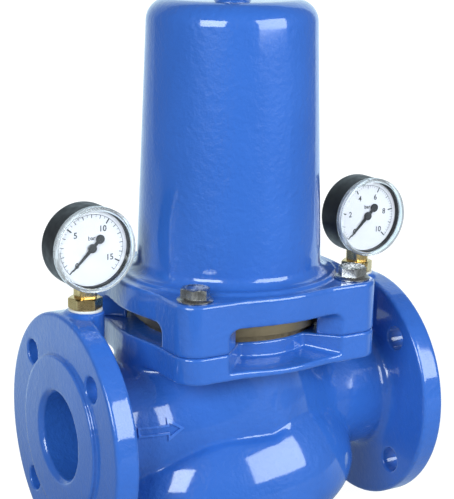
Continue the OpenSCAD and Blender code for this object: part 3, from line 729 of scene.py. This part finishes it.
def flow_arrow():
    """Raised outline of an arrow, laid on the front of the inlet neck."""
    tail_x, axis_z, length, head_length = -103.0, 11.1, 35.0, 13.0
    shaft, head, rim, sunk, proud = 3.6, 8.6, 1.5, 1.0, 1.2
    neck_at = length - head_length
    outer = [(0, -shaft), (neck_at, -shaft), (neck_at, -head), (length, 0),
             (neck_at, head), (neck_at, shaft), (0, shaft)]
    inner = [(rim, -shaft + rim), (neck_at + rim, -shaft + rim),
             (neck_at + rim, -head + 2.6 * rim), (length - 2.2 * rim, 0),
             (neck_at + rim, head - 2.6 * rim), (neck_at + rim, shaft - rim),
             (rim, shaft - rim)]
    pieces = 6
    loops = []
    for ring in (outer, inner):
        corners = np.array(ring + ring[:1], dtype=float)
        share = np.arange(len(ring) * pieces) / pieces
        flat = np.stack([np.interp(share, np.arange(len(corners)), corners[:, i])
                         for i in (0, 1)], axis=1)
        at, normal = body_front(tail_x + flat[:, 0], axis_z + flat[:, 1])
        at[:, 2] += PIPE_Z
        loops += [at + proud * normal, at - sunk * normal]
    # Around the rim: outside wall, top, inside wall, underside
    order = [1, 0, 2, 3]
    count = len(loops[0])
    verts = np.concatenate([loops[k] for k in order])
    faces = []
    for k in range(4):
        for i in range(count):
            j = (i + 1) % count
            m = (k + 1) % 4
            faces.append((k * count + i, k * count + j, m * count + j, m * count + i))
    b = Builder()
    b.add(verts, faces)
    mesh = b.mesh("flow_arrow")
    return add_piece("flow_arrow", mesh, PAINT, "housing", sharp=35)


flow_arrow()


# ---------------------------------------------------------------- bolts and setting screw

def hex_head(b, af, z0, z1, place, chamfer=1.4, both=False, bore=0.0):
    """Hexagon with its corners turned off at 30 degrees on top, and below when both."""
    corner = af / 2 / math.cos(math.pi / 6)
    flat_top = 0.94 * af / 2
    depth, steps = 0.55 * chamfer, 4
    top = [(corner - (corner - flat_top) * i / steps, z1 - depth * (1 - i / steps))
           for i in range(steps + 1)]
    low = [(r, z0 + (z1 - z)) for r, z in reversed(top)] if both else [(corner, z0)]
    inner = bore or ON_AXIS
    profile = [(inner, z0)] + low + top + [(inner, z1)]
    b.add(*swept(profile, lambda r, angle, z: min(r, side_distance(angle, 6, af)), turns=72,
                 closed=bool(bore)), place)


def flange_bolt(b, x, y):
    """Flanged hexagon bolt through one corner; each head stands at its own angle."""
    shank_r, flange_r, across_flats, head_top = 6.0, 13.2, 19.0, SEAT_Z + 9.8
    tip, seat = JOINT_Z - 16, SEAT_Z
    place = Matrix.Translation((x, y, PIPE_Z))
    b.add(*swept([(ON_AXIS, tip), (shank_r - 1, tip), (shank_r, tip + 1), (shank_r, seat - 0.5),
                  (12.6, seat), (flange_r, seat + 0.4), (flange_r, seat + 1.1),
                  (12.8, seat + 1.6), (11.0, seat + 2.6), (10.6, seat + 2.8),
                  (ON_AXIS, seat + 2.8)]), place)
    turn = Matrix.Rotation(math.radians(17 + 23 * (x > 0) + 11 * (y > 0)), 4, "Z")
    hex_head(b, across_flats, seat + 2.4, head_top, place @ turn)
    # Raised ring round a shallow dish in the top of the head
    b.add(*swept([(7.6, head_top - 0.1), (7.9, head_top + 0.2), (7.3, head_top + 0.3),
                  (6.6, head_top + 0.1)], turns=48, closed=True), place)


def bonnet_bolts():
    b = Builder()
    for x in (-COVER_BOLT, COVER_BOLT):
        for y in (-COVER_BOLT, COVER_BOLT):
            flange_bolt(b, x, y)
    add_piece("bonnet_bolts_fine", b.mesh("bonnet_bolts_fine"), ZINC, "housing",
              ["bonnet_bolts"], sharp=30)


def setting_screw():
    """Adjusting screw with a cut thread and a hexagon end."""
    pitch, depth, rows_per_turn = 2.0, 1.1, 8
    end_r, across_flats, head_height = 6.4, 13.0, 11.5
    low, high = PIPE_Z + 291.0, PIPE_Z + 369.5
    rows = int((high - low) / pitch * rows_per_turn)

    def threaded(r, angle, z):
        if r < SCREW_R - 1.5:
            return r
        t = ((z - low) / pitch - angle / (2 * math.pi)) % 1.0
        wave = min(1.0, max(0.0, abs(t - 0.5) * 2.6 - 0.15))
        ends = min(1.0, (z - low) / 2.0, (high - z) / 2.0)
        return r - depth * wave * max(ends, 0.0)
    shank = [(SCREW_R, low + (high - low) * i / rows) for i in range(1, rows)]
    profile = [(ON_AXIS, low), (end_r, low)] + shank + [(end_r, high), (ON_AXIS, high)]
    b = Builder()
    b.add(*swept(profile, threaded, turns=48))
    hex_head(b, across_flats, high - 0.5, high + head_height, Matrix(), chamfer=1.2)
    add_piece("setting_screw", b.mesh("setting_screw"), ZINC, "screw",
              ["adjusting_screw"], sharp=35)


def lock_nut():
    across_flats, height, low = 24.0, 13.0, PIPE_Z + BOSS_Z + WASHER_T
    b = Builder()
    hex_head(b, across_flats, low, low + height, Matrix.Rotation(math.radians(12), 4, "Z"),
             chamfer=1.8, both=True, bore=SCREW_R + 0.05)
    add_piece("lock_nut_fine", b.mesh("lock_nut_fine"), ZINC, "nut", ["lock_nut"],
              sharp=30)


def lock_washer():
    bore_r, outer_r, low, edge = 8.4, 15.0, PIPE_Z + BOSS_Z, 0.3
    top = low + WASHER_T
    b = Builder()
    b.add(*swept([(bore_r, low), (outer_r - edge, low), (outer_r, low + edge),
                  (outer_r, top - 0.4), (outer_r - 0.4, top), (bore_r + edge, top),
                  (bore_r, top - edge)], closed=True))
    add_piece("lock_washer_fine", b.mesh("lock_washer_fine"), ZINC, "washer",
              ["lock_washer"], sharp=30)


bonnet_bolts()
setting_screw()
lock_nut()
lock_washer()


# ---------------------------------------------------------------- range spring and diaphragm

def spring_half(name, low_turn, high_turn):
    """Round-wire coil between two turn counts; both halves together are the whole spring."""
    wire_r, mean_r, active = 4.8, 40.0, 6
    low, high = SPRING_LOW + wire_r, SPRING_HIGH - wire_r
    close_pitch = 2 * wire_r * 1.02
    open_pitch = (high - low - 2 * close_pitch) / active
    per_turn, sides = 64, 16

    def height(t):
        if t < 1:
            return low + close_pitch * t
        if t < 1 + active:
            return low + close_pitch + open_pitch * (t - 1)
        return high - close_pitch * (2 + active - t)
    steps = int((high_turn - low_turn) * per_turn)
    verts, faces = [], []
    for i in range(steps + 1):
        t = low_turn + i / per_turn
        a = 2 * math.pi * t
        for j in range(sides):
            c = 2 * math.pi * j / sides
            r = mean_r + wire_r * math.cos(c)
            verts.append((r * math.cos(a), r * math.sin(a), height(t) + wire_r * math.sin(c)))
    for i in range(steps):
        for j in range(sides):
            k = (j + 1) % sides
            faces.append((i * sides + j, (i + 1) * sides + j,
                          (i + 1) * sides + k, i * sides + k))
    faces.append(tuple(range(sides)))
    faces.append(tuple(steps * sides + j for j in reversed(range(sides))))
    b = Builder()
    b.add(verts, faces)
    return add_piece(name, b.mesh(name), SPRING, None, sharp=50)


def range_spring():
    """The coil in two halves, each its own piece on no body, in place of the CAD spring."""
    lower = spring_half("range_spring_lower", 0, 4)
    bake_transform(lower)
    upper = spring_half("range_spring_upper", 4, 8)
    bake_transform(upper)
    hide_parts("range_spring")


def dished_diaphragm():
    """Rolled rubber diaphragm: clamped rim, one convolution, flat centre."""
    hub_z, rim_z, t = PIPE_Z + 77.5, PIPE_Z + 87.5, 3.0
    bore_r, hub_r, roll_r, rim_r = 7.05, 37.0, 59.0, 76.0
    steps = 18
    under, over = [], []
    for i in range(steps + 1):
        s = i / steps
        r = hub_r + (roll_r - hub_r) * s
        rise = (rim_z - hub_z) * s * s * (3 - 2 * s)
        under.append((r, hub_z + rise))
        over.append((r - 1.0, hub_z + t + rise))
    profile = [(bore_r, hub_z)] + under + [(rim_r, rim_z), (rim_r, rim_z + t)] + over[::-1]
    profile += [(bore_r, hub_z + t)]
    b = Builder()
    b.add(*swept(profile, closed=True, turns=128))
    obj = add_piece("diaphragm_moulded", b.mesh("diaphragm_moulded"), RUBBER, "housing",
                    ["diaphragm"], sharp=50)
    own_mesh(obj)


range_spring()
dished_diaphragm()


# ---------------------------------------------------------------- gauges

def gauge_turned(b, profile, turns=96, closed=True):
    """Adds a ring turned about the pointer shaft: (radius, y) points, y negative to the front."""
    b.add(*swept([(r, -y) for r, y in profile], turns=turns, closed=closed),
          Matrix.Rotation(math.radians(90), 4, "X"))


def gauge_case(b):
    """Black cup with a rounded back edge and a small relief disc in its back."""
    radius, bore, back, floor, front, edge = 31.0, 28.0, 9.5, 7.5, -14.0, 3.5
    outside = [(ON_AXIS, back), (26.0, back)] + arc(radius - edge, back - edge, edge, 90, 0)
    profile = outside + [(radius, front + 1), (radius - 0.6, front), (bore, front),
                         (bore, floor), (ON_AXIS, floor)]
    gauge_turned(b, profile[::-1], closed=False)
    relief = [(6.5, back - 0.1), (6.5, back + 0.6), (6.0, back + 0.9), (5.2, back + 0.9),
              (5.2, back - 0.1)]
    gauge_turned(b, relief[::-1], turns=48)


def gauge_window(b):
    """Snap-on clear window: a rounded ring that stands proud of the case, and a thin pane."""
    outside = [(29.3, -14.0), (31.2, -14.0), (31.5, -14.6)] + arc(30.1, -18.6, 1.4, 0, -90, 5)
    inside = [(28.6, -20.0), (28.2, -19.4), (ON_AXIS, -19.4), (ON_AXIS, -18.2),
              (28.6, -18.2), (29.3, -17.4)]
    gauge_turned(b, outside + inside)


def gauge_dial(b):
    shaft_hole_r, rim_r, thickness = 1.5, 27.9, 0.8
    gauge_turned(b, [(shaft_hole_r, DIAL_Y + thickness), (rim_r, DIAL_Y + thickness),
                     (rim_r, DIAL_Y), (shaft_hole_r, DIAL_Y)])


def flat_text(text, size):
    """Outline of a word as flat geometry in millimetres: vertices, faces and its centre."""
    curve = bpy.data.curves.new("word", "FONT")
    curve.body = text
    curve.size = 1.0
    curve.offset = 0.018
    curve.resolution_u = 3
    obj = new_object("word", curve)
    depsgraph = bpy.context.evaluated_depsgraph_get()
    mesh = bpy.data.meshes.new_from_object(obj.evaluated_get(depsgraph))
    verts = [(v.co.x * size, v.co.y * size) for v in mesh.vertices]
    faces = [tuple(p.vertices) for p in mesh.polygons]
    bpy.data.objects.remove(obj)
    bpy.data.meshes.remove(mesh)
    bpy.data.curves.remove(curve)
    xs, ys = [v[0] for v in verts], [v[1] for v in verts]
    return verts, faces, (min(xs) + max(xs)) / 2, (min(ys) + max(ys)) / 2


def print_word(b, text, size, x, z, y):
    verts, faces, cx, cy = flat_text(text, size)
    b.add([(vx - cx + x, y, vz - cy + z) for vx, vz in verts], faces)


def print_bar(b, angle, r0, r1, width, y):
    """Radial dial mark; angle in degrees, clockwise from straight up."""
    a = math.radians(angle)
    out = Vector((math.sin(a), 0, math.cos(a)))
    side = Vector((math.cos(a), 0, -math.sin(a))) * width / 2
    base = Vector((0, y, 0))
    b.add([base + out * r0 - side, base + out * r0 + side, base + out * r1 + side,
           base + out * r1 - side], [(0, 1, 2, 3)])


def print_arc(b, r0, r1, start, end, y, steps=90):
    """Ring segment between two radii; angles in degrees, clockwise from straight up."""
    verts, faces = [], []
    for i in range(steps + 1):
        a = math.radians(start + (end - start) * i / steps)
        for r in (r0, r1):
            verts.append((r * math.sin(a), y, r * math.cos(a)))
    for i in range(steps):
        faces.append((2 * i, 2 * i + 2, 2 * i + 3, 2 * i + 1))
    b.add(verts, faces)


def dial_print(b, top, step_label, divisions):
    """Scale from 0 to top with a number at each step_label, and the unit."""
    y = DIAL_Y - 0.15
    arc_inner, arc_outer, mark_outer, number_r = 24.6, 24.9, 24.8, 16.6
    long_mark, middle_mark, short_mark = (20.6, 1.0), (22.0, 0.55), (23.0, 0.3)
    print_arc(b, arc_inner, arc_outer, SCALE_START, SCALE_START + SCALE_SWEEP, y)
    for i in range(int(top * divisions) + 1):
        value = i / divisions
        angle = SCALE_START + SCALE_SWEEP * value / top
        numbered = abs(value / step_label - round(value / step_label)) < 1e-6
        whole = abs(value - round(value)) < 1e-6
        inner, width = long_mark if numbered else middle_mark if whole else short_mark
        print_bar(b, angle, inner, mark_outer, width, y)
        if numbered:
            a = math.radians(angle)
            print_word(b, f"{value:g}", 6.2, number_r * math.sin(a), number_r * math.cos(a), y)
    print_word(b, "bar", 4.4, 0.0, 7.5, y)


def gauge_pointer(b):
    """Tapered hand with a keyhole counterweight and a turned hub, standing at zero."""
    tip, tip_half, waist_half, neck_half, neck_v = 21.5, 0.35, 1.5, 1.1, -6.0
    weight_r, weight_v = 3.4, -8.8
    weight = [(weight_r * math.sin(math.radians(a)),
               weight_v + weight_r * math.cos(math.radians(a))) for a in range(-20, -341, -20)]
    hand = [(tip_half, tip), (-tip_half, tip), (-waist_half, 0.0), (-neck_half, neck_v)]
    hand += weight + [(neck_half, neck_v), (waist_half, 0.0)]
    turn = math.radians(SCALE_START)
    outline = [(u * math.cos(turn) + v * math.sin(turn),
                -u * math.sin(turn) + v * math.cos(turn)) for u, v in hand]
    b.add(*polygon_prism(outline, DIAL_Y - 0.9, DIAL_Y - 1.5))
    hub = [(ON_AXIS, 0.8), (3.3, 0.8), (3.3, 1.9), (3.0, 2.3), (ON_AXIS, 2.5)]
    gauge_turned(b, [(r, DIAL_Y - height) for r, height in hub], turns=48, closed=False)


def gauge_seal(b):
    """Flat ring on the flange boss, under the adapter; heights from the boss."""
    bore_r, outer_r = 8.4, 12.6
    b.add(*swept([(bore_r, 0), (12.2, 0), (outer_r, 0.5), (outer_r, SEAL_T - 0.5),
                  (12.2, SEAL_T), (bore_r, SEAL_T)], closed=True))


def gauge_adapter(b):
    """Hexagon adapter screwed into the flange boss; heights from the boss."""
    across_flats, height, bore, sleeve_r = 22.0, 8.5, 6.6, 8.3
    hex_head(b, across_flats, SEAL_T, SEAL_T + height,
             Matrix.Rotation(math.radians(8), 4, "Z"), chamfer=1.6, both=True, bore=bore)
    b.add(*swept([(3.0, -11.0), (sleeve_r, -11.0), (sleeve_r, SEAL_T + 0.5),
                  (bore, SEAL_T + 0.5)], closed=True))


def gauge_socket(b):
    """Brass stem: round neck, square flats, and the block that carries the movement."""
    neck_r, low, top, block_top = 6.5, 10.5, SHAFT_RISE - 30.0, SHAFT_RISE - 17.0

    def squared(across_flats, soft):
        return lambda r, angle, z: min(r, side_distance(angle, 4, across_flats),
                                       across_flats / 2 * soft)
    b.add(*swept([(ON_AXIS, low - 12), (neck_r - 1, low - 12), (neck_r, low - 11),
                  (neck_r, low), (ON_AXIS, low)], turns=64))
    b.add(*swept([(ON_AXIS, low), (8.2, low), (9.0, low + 0.8), (9.0, top - 0.5),
                  (ON_AXIS, top)], squared(14.0, 1.25), turns=72),
          Matrix.Rotation(math.radians(4), 4, "Z"))
    b.add(*swept([(ON_AXIS, top - 1), (9.0, top - 1), (9.0, block_top - 0.6),
                  (8.4, block_top), (ON_AXIS, block_top)], squared(10.0, 1.3), turns=72))


def build_gauge(side, prefix, top, step_label, divisions):
    """One gauge with its adapter and seal; side is -1 at the inlet and 1 at the outlet."""
    foot = Matrix.Translation((side * GAUGE_X, 0, PIPE_Z + BOSS_TOP))
    shaft = Matrix.Translation((side * GAUGE_X, 0, PIPE_Z + POINTER_Z))

    def piece(kind, maker, at, mat, slot, cad_node=None, body="housing", sharp=30.0):
        b = Builder()
        maker(b)
        b.verts = [at @ v for v in b.verts]
        name = f"{prefix}_{kind}"
        replaced = [f"{prefix}_{cad_node}"] if cad_node else []
        return add_piece(name, b.mesh(name), mat, body, replaced, sharp)

    piece("case_moulded", gauge_case, shaft, BLACK, "black_case", "case")
    pane = piece("window_clear", gauge_window, shaft, WINDOW, "clear_window", "window", sharp=35)
    pane.data.materials.append(RIM)
    for face in pane.data.polygons:
        from_shaft = face.center / MM - shaft.translation
        if math.hypot(from_shaft.x, from_shaft.z) > RIM_FROM_R:
            face.material_index = 1
    piece("dial_plate", gauge_dial, shaft, WHITE, "dial_white", "dial")
    piece("dial_print", lambda b: dial_print(b, top, step_label, divisions), shaft, INK,
          "pointer_black", sharp=0)
    piece("pointer_hand", gauge_pointer, shaft, INK, "pointer_black", "pointer",
          body=f"{prefix}_hand")
    piece("adapter_hex", gauge_adapter, foot, BRASS, "brass", "adapter")
    piece("socket_stem", gauge_socket, foot, BRASS, "brass", "socket")
    piece("seal_ring", gauge_seal, foot, SEAL, "white_seal", "adapter_seal", sharp=40)


build_gauge(-1, "inlet", 16, 5, 2)
build_gauge(1, "outlet", 10, 2, 5)


# ---------------------------------------------------------------- studio

# Camera: angles in degrees, distance and target in metres, sensor and lens in millimetres
AZIMUTH, ELEVATION, ROLL = -30.88, 13.48, 0.83
DISTANCE = 1.1133
TARGET = Vector((-0.0016, 0.0, PIPE_Z * MM + 0.1264))
SENSOR = 36.0
LENS = 104.638

# Brightness of the white sweep as the camera sees it
SWEEP_SEEN = 0.95
# As mirrored in the object: in front of it, and the share left at the far left
SWEEP_FRONT = 0.05
SWEEP_LEFT = 0.42
SWEEP_TINT = (0.66, 0.88, 1.0, 1)
# As a light on the object
SWEEP_LIGHT = 0.19


def toward(azimuth, elevation):
    """Unit vector from the object to a viewer; azimuth 0 is in front, positive to the right."""
    a, e = math.radians(azimuth), math.radians(elevation)
    return Vector((math.sin(a) * math.cos(e), -math.cos(a) * math.cos(e), math.sin(e)))


def aimed(direction, roll=0.0):
    """Rotation of a camera or light that looks against direction, +Y kept up."""
    turn = (-direction).to_track_quat("-Z", "Y").to_matrix().to_4x4()
    return turn @ Matrix.Rotation(math.radians(roll), 4, "Z")


def camera():
    data = bpy.data.cameras.new("camera")
    data.sensor_width = SENSOR
    data.lens = LENS
    obj = new_object("camera", data)
    direction = toward(AZIMUTH, ELEVATION)
    obj.matrix_world = (Matrix.Translation(TARGET + direction * DISTANCE)
                        @ aimed(direction, ROLL))
    bpy.context.scene.camera = obj


def softbox(name, azimuth, width, height, power):
    """Rectangular area light above the camera's height, aimed at the object."""
    elevation, distance = 21, 1.5
    data = bpy.data.lights.new(name, "AREA")
    data.shape = "RECTANGLE"
    data.size, data.size_y = width, height
    data.energy = power
    data.color = (0.86, 0.96, 1.0)
    direction = toward(azimuth, elevation)
    obj = new_object(name, data)
    obj.matrix_world = Matrix.Translation(TARGET + direction * distance) @ aimed(direction)


def sweep_strength(tree, path, away, across):
    """Brightness of the sweep for each kind of ray, darker in reflections from in front."""
    product = node(tree, "ShaderNodeMath", operation="MULTIPLY")
    for i, (way, low, high, dim, full) in enumerate((
            (away, -0.05, 0.30, SWEEP_FRONT, SWEEP_SEEN),
            (across, -1.5, -0.4, SWEEP_LEFT, 1.0))):
        place = node(tree, "ShaderNodeVectorMath", operation="DOT_PRODUCT")
        tree.links.new(node(tree, "ShaderNodeNewGeometry").outputs["Position"],
                       place.inputs[0])
        place.inputs[1].default_value = way
        tree.links.new(span(tree, place.outputs["Value"], low, high, dim, full),
                       product.inputs[i])
    mirrored = product.outputs["Value"]
    strength = choose(tree, path.outputs["Is Glossy Ray"], SWEEP_SEEN, mirrored)
    return choose(tree, path.outputs["Is Diffuse Ray"], strength, SWEEP_LIGHT)


def white_sweep(away, across):
    """Shining white that lights the object only softly; clear when seen from behind."""
    mat, tree, bsdf = new_material("white_sweep")
    assign(bsdf, Roughness=0.9, Specular_IOR_Level=0.1)
    tone = ramp(tree, noise(tree, object_coords(tree), 3.0), 0.3, 0.7,
                (0.24, 0.24, 0.24), (0.27, 0.27, 0.27))
    tree.links.new(tone, bsdf.inputs["Base Color"])
    path = node(tree, "ShaderNodeLightPath")
    shine = mix_colour(tree, path.outputs["Is Glossy Ray"], (1, 1, 1, 1), SWEEP_TINT)
    tree.links.new(shine, bsdf.inputs["Emission Color"])
    tree.links.new(sweep_strength(tree, path, away, across), bsdf.inputs["Emission Strength"])
    clear = node(tree, "ShaderNodeBsdfTransparent")
    seen_from_behind = node(tree, "ShaderNodeNewGeometry").outputs["Backfacing"]
    surface_switch(tree, seen_from_behind, bsdf, clear)
    return mat


def backdrop():
    """White sweep under and behind the object: floor, curve, and wall."""
    front, back, radius, rise, sunk = -0.7, 1.3, 0.5, 2.0, 0.0005
    reach_left, reach_right, steps = 2.1, 1.0, 12
    away = -toward(AZIMUTH, 0)
    across = Vector((away.y, -away.x, 0))
    bend = [math.pi / 2 * i / steps for i in range(1, steps + 1)]
    section = [(front, 0.0), (back - radius, 0.0)]
    section += [(back - radius + radius * math.sin(a), radius - radius * math.cos(a))
                for a in bend]
    section += [(back, rise)]
    verts, faces = [], []
    for d, z in section:
        for s in (-reach_left, reach_right):
            verts.append(away * d + across * s + Vector((0, 0, z - sunk)))
    for i in range(len(section) - 1):
        faces.append((2 * i, 2 * i + 1, 2 * i + 3, 2 * i + 2))
    mesh = mesh_from("floor_sweep", verts, faces)
    mesh.materials.append(white_sweep(away, across))
    mesh.polygons.foreach_set("use_smooth", [True] * len(mesh.polygons))
    new_object("floor_sweep", mesh)


def world():
    """Faint bluish light from all round."""
    w = bpy.data.worlds.new("studio")
    w.use_nodes = True
    assign(w.node_tree.nodes["Background"], Color=(0.80, 0.84, 0.90, 1), Strength=0.20)
    bpy.context.scene.world = w


camera()
backdrop()
world()
softbox("softbox_left", AZIMUTH - 25, width=0.86, height=0.66, power=17)
softbox("softbox_right", AZIMUTH + 55, width=1.1, height=0.85, power=20)
bpy.context.scene.view_settings.view_transform = "Standard"
